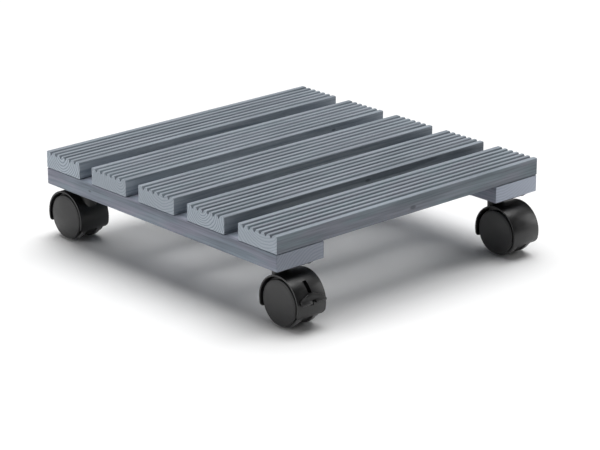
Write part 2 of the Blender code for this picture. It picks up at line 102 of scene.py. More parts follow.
TRUNNION_RADIUS = 1.5 * MM
TRUNNION_HALF_LENGTH = 5.2 * MM
SHOE_RADIAL = 16.8 * MM
SHOE_ANGLE = math.radians(60)
SHOE_RADIUS = 1.1 * MM
SHOE_HALF_LENGTH = 8.0 * MM
LEVER_HALF_THICKNESS = 1.5 * MM
LEVER_EYE_RADIUS = 2.9 * MM
SHOE_ARM_RADIUS = 1.6 * MM
PEDAL_TIP_RADIUS = 26.2 * MM
PEDAL_TOP_ANGLE = math.radians(27)
PEDAL_LOW_ANGLE = math.radians(5)
PEDAL_LOW_EDGE = 3.2 * MM
# height over the pedal's back, and angle in degrees, from the top down to the tip
PEDAL_SWELL = ((0.8 * MM, 27), (0.82 * MM, 24), (1.0 * MM, 21), (1.3 * MM, 18.5), (1.8 * MM, 15.5),
               (2.35 * MM, 13))

# Screws
SCREW_HEAD_RADIUS = 3.4 * MM
SCREW_SHANK_RADIUS = 1.75 * MM
SCREW_CONE = 2.2 * MM
SCREW_TIP = 3.0 * MM
THREAD_LEAD = 1.6 * MM
RECESS_REACH = 2.0 * MM
RECESS_HALF_WIDTH = 0.42 * MM
RECESS_DEPTH = 1.3 * MM
PILOT_AIR = 0.4 * MM
SUNK_AIR = 0.35 * MM
PLATE_AIR = 0.3 * MM
HEAD_EDGE = 0.3 * MM  # a countersunk head's cone starts this far above its face
PAN_HEAD_LOW = 1.0 * MM  # a pan head's face is this far above the low side of the screw's box
PAN_HEAD_ROUND = 0.9 * MM

# Camera
CAMERA_AIM = Vector((-0.0070, -0.0191, 0.0235))
CAMERA_AZIMUTH = math.radians(-42.22)
CAMERA_ELEVATION = math.radians(19.46)
CAMERA_DISTANCE = 2.0325
CAMERA_LENS = 146.04
CAMERA_SENSOR = 36
CAMERA_REACH = 50

# Floor
FLOOR_REACH = 6
FLOOR_GAP = 0.05 * MM

# Lamps, with angles in degrees
LAMP_AIM = Vector((0, 0, 0.04))
WORLD_STRENGTH = 0.07
OVERHEAD_PLACE = (128, 73, 4)  # azimuth, elevation and distance
OVERHEAD_SPREAD = 60
OVERHEAD_STRENGTH = 3.35
SOFTBOXES = {  # azimuth, elevation, distance, (width, height) and power
    "key": (-120, 25, 2.6, (1.3, 1.3), 11.5),
    "low_key": (-112, 4, 2.6, (1.0, 0.14), 7),
    "side": (62, 18, 1.4, (0.35, 0.7), 2.9),
}


# ---------------------------------------------------------------- shader helpers

class Shader:
    """A Principled material with short calls for the nodes that these finishes use."""

    def __init__(self, name, roughness, metallic=0.0, specular=0.5):
        self.material = bpy.data.materials.new(name)
        self.material.use_nodes = True
        self.tree = self.material.node_tree
        self.bsdf = self.tree.nodes["Principled BSDF"]
        self.bsdf.inputs["Roughness"].default_value = roughness
        self.bsdf.inputs["Metallic"].default_value = metallic
        self.bsdf.inputs["Specular IOR Level"].default_value = specular

    def put(self, socket, value):
        if isinstance(value, bpy.types.NodeSocket):
            self.tree.links.new(value, socket)
        else:
            socket.default_value = value

    def coords(self, scale=(1, 1, 1), offset=(0, 0, 0), source="Object"):
        place = self.tree.nodes.new("ShaderNodeTexCoord")
        mapping = self.tree.nodes.new("ShaderNodeMapping")
        self.tree.links.new(place.outputs[source], mapping.inputs["Vector"])
        mapping.inputs["Scale"].default_value = scale
        mapping.inputs["Location"].default_value = offset
        return mapping.outputs["Vector"]

    def noise(self, vector, scale, detail=2.0, roughness=0.5, distortion=0.0):
        node = self.tree.nodes.new("ShaderNodeTexNoise")
        node.inputs["Scale"].default_value = scale
        node.inputs["Detail"].default_value = detail
        node.inputs["Roughness"].default_value = roughness
        node.inputs["Distortion"].default_value = distortion
        self.tree.links.new(vector, node.inputs["Vector"])
        return node.outputs["Fac"]

    def maths(self, operation, first, second=0.0):
        node = self.tree.nodes.new("ShaderNodeMath")
        node.operation = operation
        self.put(node.inputs[0], first)
        self.put(node.inputs[1], second)
        return node.outputs[0]

    def split(self, vector):
        node = self.tree.nodes.new("ShaderNodeSeparateXYZ")
        self.tree.links.new(vector, node.inputs[0])
        return node.outputs[0], node.outputs[1], node.outputs[2]

    def remap(self, value, low, high, to_low=0.0, to_high=1.0):
        """Low to high becomes to_low to to_high, smoothly and clamped."""
        node = self.tree.nodes.new("ShaderNodeMapRange")
        node.interpolation_type = "SMOOTHSTEP"
        self.put(node.inputs["Value"], value)
        node.inputs["From Min"].default_value = low
        node.inputs["From Max"].default_value = high
        node.inputs["To Min"].default_value = to_low
        node.inputs["To Max"].default_value = to_high
        return node.outputs["Result"]

    def mix(self, share, first, second):
        """Between two colours, each a socket or a plain (r, g, b)."""
        node = self.tree.nodes.new("ShaderNodeMix")
        node.data_type = "RGBA"
        self.put(node.inputs["Factor"], share)
        self.put(node.inputs["A"], first if isinstance(first, bpy.types.NodeSocket) else (*first, 1))
        self.put(node.inputs["B"], second if isinstance(second, bpy.types.NodeSocket) else (*second, 1))
        return node.outputs["Result"]

    def length(self, first, second):
        first_square = self.maths("MULTIPLY", first, first)
        second_square = self.maths("MULTIPLY", second, second)
        return self.maths("SQRT", self.maths("ADD", first_square, second_square))

    def distance_to(self, vector, point):
        node = self.tree.nodes.new("ShaderNodeVectorMath")
        node.operation = "DISTANCE"
        self.tree.links.new(vector, node.inputs[0])
        node.inputs[1].default_value = point
        return node.outputs["Value"]

    def bump(self, height, distance, strength):
        node = self.tree.nodes.new("ShaderNodeBump")
        node.inputs["Distance"].default_value = distance
        node.inputs["Strength"].default_value = strength
        self.tree.links.new(height, node.inputs["Height"])
        return node.outputs["Normal"]

    def finish(self, colour, roughness, normal):
        self.tree.links.new(colour, self.bsdf.inputs["Base Color"])
        self.tree.links.new(roughness, self.bsdf.inputs["Roughness"])
        self.tree.links.new(normal, self.bsdf.inputs["Normal"])
        return self.material


# ---------------------------------------------------------------- materials

RING_WANDER = 6 * MM
DARK_STAIN = (0.41, 0.44, 0.47)  # of the light colour, in late wood and streaks
LILAC_STAIN = (1.05, 0.97, 1.02)
CYAN_STAIN = (0.93, 1.03, 1.02)
# how much paler the rib crowns are painted: a painted highlight on the crowns, partly wear
CROWN_HIGHLIGHT_AND_WEAR = 1.5
KNOT_SQUASH = 0.45  # a knot is longer along the grain
KNOT_SHADE = 0.35

# pith is (across, height) from the piece's centre. ring_contrast and end_rings say how strongly the
# rings show along the grain and on the ends. The lifts say how much lighter the ends and sides are painted
# than the top. On the ends this is partly the end grain's paler tone and partly painted light. On the sides
# it is painted light for the walls of the gaps between slats. knots are (centre, radius).
Grain = namedtuple("Grain", "seed pith ring_width ring_contrast end_rings end_lift side_lift knots")


def scaled(colour, factor):
    return tuple(channel * factor for channel in colour)


def multiplied(values, factors):
    return tuple(value * factor for value, factor in zip(values, factors))


def late_wood(shader, across, height, grain, shift, stretch):
    """From 0 to 1 across each growth ring. The rings lie round the pith line and wander a little."""
    drift = shader.noise(shader.coords(stretch(1, 12), (shift, shift, shift)), 5.0, 3.0, 0.45)
    wander = shader.maths("MULTIPLY", shader.maths("SUBTRACT", drift, 0.5), RING_WANDER)
    from_pith = shader.length(shader.maths("SUBTRACT", across, grain.pith[0]),
                              shader.maths("SUBTRACT", height, grain.pith[1]))
    distance = shader.maths("ADD", from_pith, wander)
    phase = shader.maths("FRACT", shader.maths("DIVIDE", distance, grain.ring_width))
    late = shader.remap(phase, 0.35, 0.9)
    return shader.maths("MULTIPLY", late, shader.remap(phase, 0.9, 1.0, 1.0, 0.0))


def wood(name, grain_axis, light, grain, crown_z=None):
    """Stained softwood with its grain along an axis: long streaks and fibres on the sides, arcs of growth
    rings and pores on the ends, and small dark knots. Rib crowns just under crown_z are painted paler, a
    painted highlight that is partly wear. The ends are painted paler, partly as painted light. The slat
    sides that face the gaps are painted paler as painted light."""
    def stretch(along, across):
        return (along, across, across) if grain_axis == "X" else (across, along, across)

    shader = Shader(name, 0.62, specular=0.35)
    shift = 0.137 * grain.seed
    dark = multiplied(light, DARK_STAIN)
    x, y, z = shader.split(shader.coords())
    late = late_wood(shader, y if grain_axis == "X" else x, z, grain, shift, stretch)
    fibres = shader.noise(shader.coords(stretch(18, 500), (shift, 0, 0)), 1.6, 4.0, 0.6)
    streaks = shader.noise(shader.coords(stretch(4, 70), (0, shift, 0)), 2.2, 3.0, 0.55)
    patches = shader.noise(shader.coords((1, 1, 1), (shift, 0, shift)), 14.0, 2.0)
    pores = shader.noise(shader.coords((1, 1, 1), (0, 0, shift)), 1400.0, 2.0)
    tints = shader.noise(shader.coords(stretch(2, 14), (shift, shift, 0)), 9.0, 3.0)

    tone = shader.maths("MULTIPLY", late, grain.ring_contrast)
    tone = shader.maths("ADD", tone, shader.remap(fibres, 0.35, 0.75, 0.0, 0.30))
    tone = shader.maths("ADD", tone, shader.remap(streaks, 0.38, 0.66, 0.0, 0.38))
    tone = shader.maths("ADD", tone, shader.remap(patches, 0.35, 0.7, 0.0, 0.18))
    lilac, cyan = multiplied(light, LILAC_STAIN), multiplied(light, CYAN_STAIN)
    pale = shader.mix(shader.remap(tints, 0.38, 0.62), lilac, cyan)
    colour = shader.mix(tone, pale, dark)

    facing_x, facing_y, _ = shader.split(shader.coords(source="Normal"))
    facing_end, facing_side = (facing_x, facing_y) if grain_axis == "X" else (facing_y, facing_x)
    # painted light: a slat's sides are painted paler, in place of light reaching the gap walls through the
    # shade between slats
    if grain.side_lift > 1:
        side_face = shader.remap(shader.maths("ABSOLUTE", facing_side), 0.8, 0.97)
        painted_lit_side = shader.mix(tone, scaled(light, grain.side_lift), scaled(dark, grain.side_lift))
        colour = shader.mix(side_face, colour, painted_lit_side)
    end_face = shader.remap(shader.maths("ABSOLUTE", facing_end), 0.6, 0.9)
    end_tone = shader.maths("MULTIPLY", late, grain.end_rings)
    end_tone = shader.maths("ADD", end_tone, shader.remap(pores, 0.45, 0.75, 0.0, 0.18))
    # partly painted light: the end faces are painted paler by a factor set piece by piece, partly the end
    # grain's own paler tone and partly painted light
    end_colour = shader.mix(end_tone, scaled(light, grain.end_lift), scaled(dark, grain.end_lift))
    colour = shader.mix(end_face, colour, end_colour)
    if crown_z is not None:
        # painted highlight: the rib crowns are painted paler just under their top, partly wear, less so in
        # the streaks
        painted_highlight = shader.remap(z, crown_z - 0.9 * MM, crown_z - 0.1 * MM, 0.0, 0.8)
        painted_highlight = shader.maths("MULTIPLY", painted_highlight, shader.remap(streaks, 0.3, 0.65, 1.0, 0.5))
        colour = shader.mix(painted_highlight, colour, scaled(light, CROWN_HIGHLIGHT_AND_WEAR))
    for centre, radius in grain.knots:
        squash = stretch(KNOT_SQUASH, 1)
        distance = shader.distance_to(shader.coords(squash), multiplied(centre, squash))
        spot = shader.remap(distance, radius * 0.4, radius, 0.6, 0.0)
        colour = shader.mix(spot, colour, scaled(dark, KNOT_SHADE))
    rough = shader.remap(fibres, 0.3, 0.8, 0.5, 0.72)
    height = shader.maths("ADD", shader.maths("MULTIPLY", fibres, 0.7), shader.maths("MULTIPLY", late, 0.5))
    relief = shader.bump(height, 0.12 * MM, 0.55)
    return shader.finish(colour, rough, relief)


def nylon(name, colour, roughness, grain_scale, grain_depth, tread_radius=None):
    """Black moulded nylon: a fine spark-eroded grain, faint flow marks and a little dust. Outside
    tread_radius from the object's X axis it is smoother, as rolling leaves it, and painted greyer as a
    painted reflection of a bright floor on the tread."""
    shader = Shader(name, roughness, specular=0.5)
    grain = shader.noise(shader.coords(), grain_scale, 2.0, 0.6)
    flow = shader.noise(shader.coords((1, 1, 2.2)), 95.0, 3.0, 0.5, 0.6)
    dusty = tuple(channel * 1.9 + 0.006 for channel in colour)
    tint = shader.mix(shader.remap(flow, 0.45, 0.8, 0.0, 0.5), colour, dusty)
    rough = shader.remap(flow, 0.3, 0.75, roughness - 0.05, roughness + 0.09)
    if tread_radius:
        _, y, z = shader.split(shader.coords())
        tread = shader.remap(shader.length(y, z), tread_radius - 0.4 * MM, tread_radius)
        rough = shader.maths("MULTIPLY", rough, shader.remap(tread, 0.0, 1.0, 1.0, 0.35))
        # painted reflection: the tread is painted greyer, in place of a bright floor's reflection along the
        # tread
        painted_highlight = tuple(channel * 3.0 + 0.07 for channel in colour)
        tint = shader.mix(tread, tint, painted_highlight)
    relief = shader.bump(grain, grain_depth, 0.6)
    return shader.finish(tint, rough, relief)


def zinc(name, colour, roughness):
    """Zinc-plated steel: a soft spangle and fine rolling marks."""
    shader = Shader(name, roughness, metallic=1.0)
    spangle = shader.noise(shader.coords(), 420.0, 3.0, 0.6)
    marks = shader.noise(shader.coords((1, 40, 40)), 60.0, 2.0)
    tint = shader.mix(shader.remap(spangle, 0.35, 0.7), colour, scaled(colour, 0.72))
    rough = shader.remap(marks, 0.3, 0.7, roughness - 0.08, roughness + 0.12)
    return shader.finish(tint, rough, shader.bump(marks, 0.03 * MM, 0.5))


def pale_floor():
    shader = Shader("pale_floor", 0.9, specular=0.1)
    shader.bsdf.inputs["Base Color"].default_value = (0.92, 0.92, 0.92, 1)
    return shader.material


# ---------------------------------------------------------------- mesh helpers

def polar(radius, angle):
    return Vector((radius * math.cos(angle), radius * math.sin(angle)))


def arc(centre, radius, start, end, steps):
    return [Vector(centre) + polar(radius, start + (end - start) * i / steps) for i in range(steps + 1)]


def mesh_object(name, bm, material=None, sharp=35):
    bmesh.ops.recalc_face_normals(bm, faces=bm.faces)
    mesh = bpy.data.meshes.new(name)
    bm.to_mesh(mesh)
    bm.free()
    obj = bpy.data.objects.new(name, mesh)
    bpy.context.scene.collection.objects.link(obj)
    if material:
        mesh.materials.append(material)
    mesh.shade_smooth()
    mesh.set_sharp_from_angle(angle=math.radians(sharp))
    return obj


def along_x(point, depth):
    return Vector((depth, point[0], point[1]))


def along_y(point, depth):
    return Vector((point[0], depth, point[1]))


def along_z(point, depth):
    return Vector((point[0], point[1], depth))


def prism(outline, low, high, to_world):
    bm = bmesh.new()
    bottom = [bm.verts.new(to_world(point, low)) for point in outline]
    top = [bm.verts.new(to_world(point, high)) for point in outline]
    bm.faces.new(bottom)
    bm.faces.new(top)
    for i in range(len(outline)):
        j = (i + 1) % len(outline)
        bm.faces.new((bottom[i], bottom[j], top[j], top[i]))
    return bm


def turned(profile, segments, axis="Z"):
    """A closed profile of (radius, height) points, turned about an axis. Radius 0 is on the axis."""
    bm = bmesh.new()
    rings = []
    for radius, height in profile:
        ring = []
        for i in range(1 if radius == 0 else segments):
            spot = polar(radius, 2 * math.pi * i / segments)
            place = (height, spot.x, spot.y) if axis == "X" else (spot.x, spot.y, height)
            ring.append(bm.verts.new(place))
        rings.append(ring)
    for first, second in zip(rings, rings[1:] + rings[:1]):
        for i in range(segments):
            j = (i + 1) % segments
            corners = [first[i % len(first)], first[j % len(first)]]
            corners += [second[j % len(second)], second[i % len(second)]]
            distinct = list(dict.fromkeys(corners))
            if len(distinct) > 2:
                bm.faces.new(distinct)
    return bm


def apply_modifiers(obj):
    bpy.context.view_layer.update()
    graph = bpy.context.evaluated_depsgraph_get()
    finished = bpy.data.meshes.new_from_object(obj.evaluated_get(graph))
    obj.modifiers.clear()
    old = obj.data
    obj.data = finished
    finished.name = obj.name
    bpy.data.meshes.remove(old)
    return obj


def cut(obj, tools, operation="DIFFERENCE"):
    for tool in tools:
        modifier = obj.modifiers.new("cut", "BOOLEAN")
        modifier.operation = operation
        modifier.solver = "EXACT"
        modifier.object = tool
        apply_modifiers(obj)
        bpy.data.objects.remove(tool, do_unlink=True)
    return obj


def soften(obj, width, segments=2, angle=35):
    """Round the sharp edges and smooth the rest."""
    modifier = obj.modifiers.new("edges", "BEVEL")
    modifier.width = width
    modifier.segments = segments
    modifier.limit_method = "ANGLE"
    modifier.angle_limit = math.radians(angle)
    modifier.harden_normals = False
    apply_modifiers(obj)
    obj.data.shade_smooth()
    obj.data.set_sharp_from_angle(angle=math.radians(50))
    return obj


def place(obj, location, turn=0.0):
    obj.location = location
    obj.rotation_euler = (0, 0, turn)
    return obj


def stand_for(obj, node, body):
    """The piece takes a CAD node's place, on that node's body."""
    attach(obj, body)
    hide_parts(node)


def centre_of(node):
    low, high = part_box(node)
    return (low + high) / 2


def rod(profile, at, segments=16, axis="Z"):
    """A turned solid at a place, for its caller's Boolean."""
    return place(mesh_object("tool", turned(profile, segments, axis)), at)


# ---------------------------------------------------------------- deck

def rib_profile(width, top):
    """(y, z) along the grooved top, from the +Y side: flat crowns, round shoulders and valleys."""
    pitch = width / RIBS
    shoulder_steps, valley_steps = 5, 6
    floor = top - GROOVE_DEPTH
    points = []
    for rib in range(RIBS):
        centre = width / 2 - pitch * (rib + 0.5)
        if rib > 0:
            start = (centre + CROWN_HALF, top - SHOULDER_RADIUS)
            points += arc(start, SHOULDER_RADIUS, math.pi / 2 - WALL_SLOPE, math.pi / 2, shoulder_steps)
        else:
            start = (width / 2 - SIDE_EASE, top - SIDE_EASE)
            points += arc(start, SIDE_EASE, 0, math.pi / 2, shoulder_steps)
        if rib < RIBS - 1:
            start = (centre - CROWN_HALF, top - SHOULDER_RADIUS)
            points += arc(start, SHOULDER_RADIUS, math.pi / 2, math.pi / 2 + WALL_SLOPE, shoulder_steps)
            valley = (centre - pitch / 2, floor + VALLEY_RADIUS)
            turn = math.pi / 2 - WALL_SLOPE
            points += arc(valley, VALLEY_RADIUS, -turn, -math.pi + turn, valley_steps)
        else:
            start = (-width / 2 + SIDE_EASE, top - SIDE_EASE)
            points += arc(start, SIDE_EASE, math.pi / 2, math.pi, shoulder_steps)
    return points


def loft_slat(width, thickness, length):
    """A grooved slat along X, from its centre. Its ends are eased by a slightly smaller last section."""
    half = width / 2
    ease = SIDE_EASE * 0.7
    section = rib_profile(width, thickness / 2)
    section += arc((-half + ease, -thickness / 2 + ease), ease, math.pi, 1.5 * math.pi, 3)
    section += arc((half - ease, -thickness / 2 + ease), ease, 1.5 * math.pi, 2 * math.pi, 3)
    bm = bmesh.new()
    rings = []
    ends = ((0, END_EASE), (END_EASE * 0.35, END_EASE * 0.3), (END_EASE, 0))
    stations = [(-length / 2 + depth, inset) for depth, inset in ends]
    stations += [(length / 2 - depth, inset) for depth, inset in reversed(ends)]
    for x, inset in stations:
        share_y = 1 - inset / half
        share_z = 1 - inset / (thickness / 2)
        rings.append([bm.verts.new((x, p.x * share_y, p.y * share_z)) for p in section])
    for first, second in zip(rings, rings[1:]):
        for i in range(len(section)):
            j = (i + 1) % len(section)
            bm.faces.new((first[i], first[j], second[j], second[i]))
    bm.faces.new(rings[0])
    bm.faces.new(rings[-1])
    return bm


SLAT_COLOUR = (0.213, 0.240, 0.270)
SLAT_GRAIN = {
    "slat_1": Grain(1, (-0.006, 0.022), 2.5 * MM, 0.22, 0.42, 1.70, 1.0,
                    [((0, -0.0225, -0.0025), 2.0 * MM)]),
    "slat_2": Grain(2, (0.003, 0.0075), 2.1 * MM, 0.34, 0.80, 1.83, 1.2,
                    [((0.009, -0.0225, 0.003), 1.8 * MM)]),
    "slat_3": Grain(3, (-0.007, 0.020), 2.5 * MM, 0.22, 0.45, 1.63, 1.55, []),
    "slat_4": Grain(4, (-0.014, 0.006), 2.2 * MM, 0.22, 0.50, 1.63, 1.8,
                    [((0.085, -0.0225, 0.002), 1.5 * MM)]),
    "slat_5": Grain(5, (0.002, 0.0078), 2.2 * MM, 0.36, 0.95, 1.98, 1.65, []),
}


def make_slats():
    for node, grain in SLAT_GRAIN.items():
        low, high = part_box(node)
        size = high - low
        material = wood(f"{node}_wood", "X", SLAT_COLOUR, grain, size.z / 2)
        slat = mesh_object(f"{node}_board", loft_slat(size.y, size.z, size.x), material, 21)
        place(slat, (low + high) / 2)
        holes = []
        for side in ("left", "right"):
            screw_low, screw_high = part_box(f"{side}_slat_screw_{node[-1]}")
            middle = (screw_low + screw_high) / 2
            depth = screw_high.z + PILOT_AIR
            radius = SCREW_SHANK_RADIUS + PILOT_AIR
            profile = [(0, low.z - MM), (radius, low.z - MM), (radius, depth), (0, depth)]
            holes.append(rod(profile, (middle.x, middle.y, 0), 16))
        cut(slat, holes)
        stand_for(slat, node, "deck")


def screw_clearance(node, face_z):
    """A cutter for a countersunk screw that enters the wood from below, through face_z."""
    low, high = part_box(node)
    middle = (low + high) / 2
    head, shank = SCREW_HEAD_RADIUS + SUNK_AIR, SCREW_SHANK_RADIUS + SUNK_AIR
    cone_low = low.z + HEAD_EDGE
    bottom = min(face_z, low.z) - MM
    profile = [(0, bottom), (head, bottom), (head, cone_low), (shank, cone_low + SCREW_CONE)]
    profile += [(shank, high.z + SUNK_AIR), (0, high.z + SUNK_AIR)]
    return rod(profile, (middle.x, middle.y, 0), 24)


BATTEN_COLOUR = (0.250, 0.273, 0.323)
# batten_right's ends are painted paler than batten_left's: painted light
BATTEN_GRAIN = {
    "batten_left": Grain(5, (0.030, -0.050), 2.6 * MM, 0.20, 0.35, 1.05, 1.0,
                         [((-0.0245, 0.087, 0.0005), 1.1 * MM)]),
    "batten_right": Grain(9, (-0.020, 0.046), 2.6 * MM, 0.20, 0.35, 1.7, 1.0,
                          [((-0.0245, -0.035, 0.002), 1.6 * MM)]),
}


def make_battens():
    for node, grain in BATTEN_GRAIN.items():
        low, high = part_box(node)
        size = high - low
        material = wood(f"{node}_wood", "Y", BATTEN_COLOUR, grain)
        half = size.x / 2
        outline = [(-half, -size.z / 2), (half, -size.z / 2), (half, size.z / 2), (-half, size.z / 2)]
        batten = mesh_object(f"{node}_board", prism(outline, -size.y / 2, size.y / 2, along_y), material)
        place(batten, (low + high) / 2)
        soften(batten, 0.8 * MM, 3)
        side = node.removeprefix("batten_")
        names = [f"{side}_slat_screw_{i}" for i in range(1, 6)]
        for castor in CASTORS:
            if centre_of(f"{castor}_castor_plate").x * centre_of(node).x > 0:
                names += [f"{castor}_plate_screw_{i}" for i in range(1, 5)]
        cut(batten, [screw_clearance(name, low.z) for name in names])
        batten.data.set_sharp_from_angle(angle=math.radians(35))
        stand_for(batten, node, "deck")


# ---------------------------------------------------------------- screws and plates

def screw_mesh(kind, length, material):
    """A cross-recess screw with a coarse thread, standing on its head: pan head for the plates,
    countersunk for the slats."""
    if kind == "plate":
        face = PAN_HEAD_LOW
        centre = (SCREW_HEAD_RADIUS - PAN_HEAD_ROUND, face + PAN_HEAD_ROUND)
        profile = [(0, face)] + arc(centre, PAN_HEAD_ROUND, -math.pi / 2, 0, 6)
        profile += [(SCREW_HEAD_RADIUS, SCREW_CONE - 0.2 * MM)]
        profile += [(SCREW_HEAD_RADIUS - 0.2 * MM, SCREW_CONE), (SCREW_SHANK_RADIUS, SCREW_CONE)]
    else:
        face = 0
        profile = [(0, 0), (SCREW_HEAD_RADIUS - 0.15 * MM, 0), (SCREW_HEAD_RADIUS, 0.12 * MM)]
        profile += [(SCREW_HEAD_RADIUS, HEAD_EDGE), (SCREW_SHANK_RADIUS, SCREW_CONE)]
    start = SCREW_CONE + 2.0 * MM
    core = SCREW_SHANK_RADIUS - 0.55 * MM
    for i in range(int((length - SCREW_TIP - start) / THREAD_LEAD)):
        z = start + i * THREAD_LEAD
        profile += [(core, z), (core, z + THREAD_LEAD * 0.7), (SCREW_SHANK_RADIUS, z + THREAD_LEAD * 0.85)]
    profile += [(core, length - SCREW_TIP), (0, length)]
    screw = mesh_object("screw_master", turned(profile, 24), material, 40)
    bars = []
    reach, half = RECESS_REACH, RECESS_HALF_WIDTH
    outline = [(-reach, -half), (reach, -half), (reach, half), (-reach, half)]
    for turn in (0, math.pi / 2):
        bar = mesh_object("tool", prism(outline, -MM, face + RECESS_DEPTH, along_z))
        bars.append(place(bar, (0, 0, 0), turn))
    cut(screw, bars)
    screw.data.set_sharp_from_angle(angle=math.radians(35))
    mesh = screw.data
    bpy.data.objects.remove(screw, do_unlink=True)
    return mesh


def make_screws(finishes):
    groups = [f"{side}_slat_screw" for side in ("left", "right")]
    groups += [f"{name}_plate_screw" for name in CASTORS]
    meshes = {}
    for group in groups:
        kind = group.split("_")[1]
        nodes = sorted(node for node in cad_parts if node.startswith(group))
        for index, node in enumerate(nodes):
            low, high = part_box(node)
            if kind not in meshes:
                meshes[kind] = screw_mesh(kind, high.z - low.z, finishes[kind])
            screw = bpy.data.objects.new(f"{node}_threaded", meshes[kind])
            bpy.context.scene.collection.objects.link(screw)
            middle = (low + high) / 2
            place(screw, (middle.x, middle.y, low.z), 0.4 + 1.1 * index)
            stand_for(screw, node, "deck")


def make_plate(name, material):
    """The steel plate that the screws hold to the batten, with a bore for the kingpin."""
    node = f"{name}_castor_plate"
    low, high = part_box(node)
    side = high.x - low.x
    corner = 4 * MM
    half = side / 2 - corner
    outline = []
    for quarter in range(4):
        start = quarter * math.pi / 2
        centre = (half * (1 if quarter in (0, 3) else -1), half * (1 if quarter in (0, 1) else -1))
        outline += arc(centre, corner, start, start + math.pi / 2, 8)
    plate = mesh_object(f"{node}_pressed", prism(outline, 0, high.z - low.z, along_z), material)
    middle = (low + high) / 2
    place(plate, (middle.x, middle.y, low.z))
    soften(plate, 0.4 * MM, 2)
    holes = []
    for index in range(1, 5):
        spot = centre_of(f"{name}_plate_screw_{index}")
        screw_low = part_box(f"{name}_plate_screw_{index}")[0].z
        head, shank = SCREW_HEAD_RADIUS + PLATE_AIR, SCREW_SHANK_RADIUS + PLATE_AIR
        cone = screw_low + HEAD_EDGE
        profile = [(0, screw_low - MM), (head, screw_low - MM), (head, cone), (shank, cone + SCREW_CONE)]
        profile += [(shank, high.z + MM), (0, high.z + MM)]
        holes.append(rod(profile, (spot.x, spot.y, 0), 24))
    bore = KINGPIN_HOLE_RADIUS
    profile = [(0, low.z - MM), (bore, low.z - MM), (bore, high.z + MM), (0, high.z + MM)]
    holes.append(rod(profile, (middle.x, middle.y, 0), 32))
    cut(plate, holes)
    plate.data.set_sharp_from_angle(angle=math.radians(35))
    stand_for(plate, node, "deck")


# ---------------------------------------------------------------- castors

class Castor:
    """Places and sizes of one castor, read from the frame."""

    def __init__(self, name):
        self.name = name
        self.axle = centre_of(f"{name}_axle")
        self.swivel = centre_of(f"{name}_kingpin")
        low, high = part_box(f"{name}_hood")
        self.hood_radius = (high.y - low.y) / 2
        self.half_width = (high.x - low.x) / 2
        self.neck_top = high.z - self.axle.z
        self.trail = abs(self.axle.y - self.swivel.y)
        self.turn = 0.0 if self.axle.y > self.swivel.y else math.pi

    def put(self, obj):
        return place(obj, self.axle, self.turn)


def sector(inner, outer, low, high, steps=16):
    return arc((0, 0), outer, low, high, steps) + arc((0, 0), inner, high, low, steps)


def hood_shell(castor):
    """The part-cylinder over both wheels: a rounded rim on each side and rounded lower corners."""
    outer, inner, half_width = castor.hood_radius, castor.hood_radius - HOOD_WALL, castor.half_width
    corner_angle = HOOD_CORNER / outer
    rim = HOOD_RIM_ROUND
    corner_steps, middle_steps = 8, 72
    low, high = HOOD_END_ANGLE, math.pi - HOOD_END_ANGLE
    quarter_turns = [math.pi / 2 * i / corner_steps for i in range(corner_steps + 1)]
    ramp = [low + corner_angle * (1 - math.cos(turn)) for turn in quarter_turns]
    start = ramp[-1]
    angles = ramp + [start + (math.pi - 2 * start) * i / middle_steps for i in range(1, middle_steps)]
    angles += [math.pi - angle for angle in reversed(ramp)]
    bm = bmesh.new()
    rings = []
    for angle in angles:
        from_end = min(angle - low, high - angle)
        share = max(0.0, 1 - from_end / corner_angle)
        half = half_width - HOOD_CORNER * (1 - math.sqrt(max(0.0, 1 - share ** 2)))
        section = [(-half, outer - rim), (-half + rim * 0.3, outer - rim * 0.3), (-half + rim, outer)]
        section += [(half - rim, outer), (half - rim * 0.3, outer - rim * 0.3), (half, outer - rim)]
        section += [(half, inner + rim * 0.6), (half - rim * 0.6, inner)]
        section += [(-half + rim * 0.6, inner), (-half, inner + rim * 0.6)]
        ring = []
        for u, radius in section:
            spot = polar(radius, angle)
            ring.append(bm.verts.new((u, spot.x, spot.y)))
        rings.append(ring)
    for first, second in zip(rings, rings[1:]):
        for i in range(len(first)):
            j = (i + 1) % len(first)
            bm.faces.new((first[i], first[j], second[j], second[i]))
    bm.faces.new(rings[0])
    bm.faces.new(rings[-1])
    return bm


def web_outline(castor):
    """(y, z) of the wall between the two wheels: it meets the shell above and has a smaller radius below."""
    radius = castor.hood_radius - HOOD_WALL / 2
    low = HOOD_END_ANGLE + WEB_STEP_ANGLE
    high = math.pi - low
    return arc((0, 0), radius, low, high, 72) + arc((0, 0), WEB_LOWER_RADIUS, high, 2 * math.pi + low, 48)


def neck_profile(castor):
    """The round neck, its top edge eased."""
    top = castor.neck_top
    edge = 0.5 * MM
    profile = [(0, NECK_START), (NECK_RADIUS, NECK_START), (NECK_RADIUS, top - edge)]
    return profile + [(NECK_RADIUS - 0.15 * MM, top - 0.15 * MM), (NECK_RADIUS - edge, top), (0, top)]


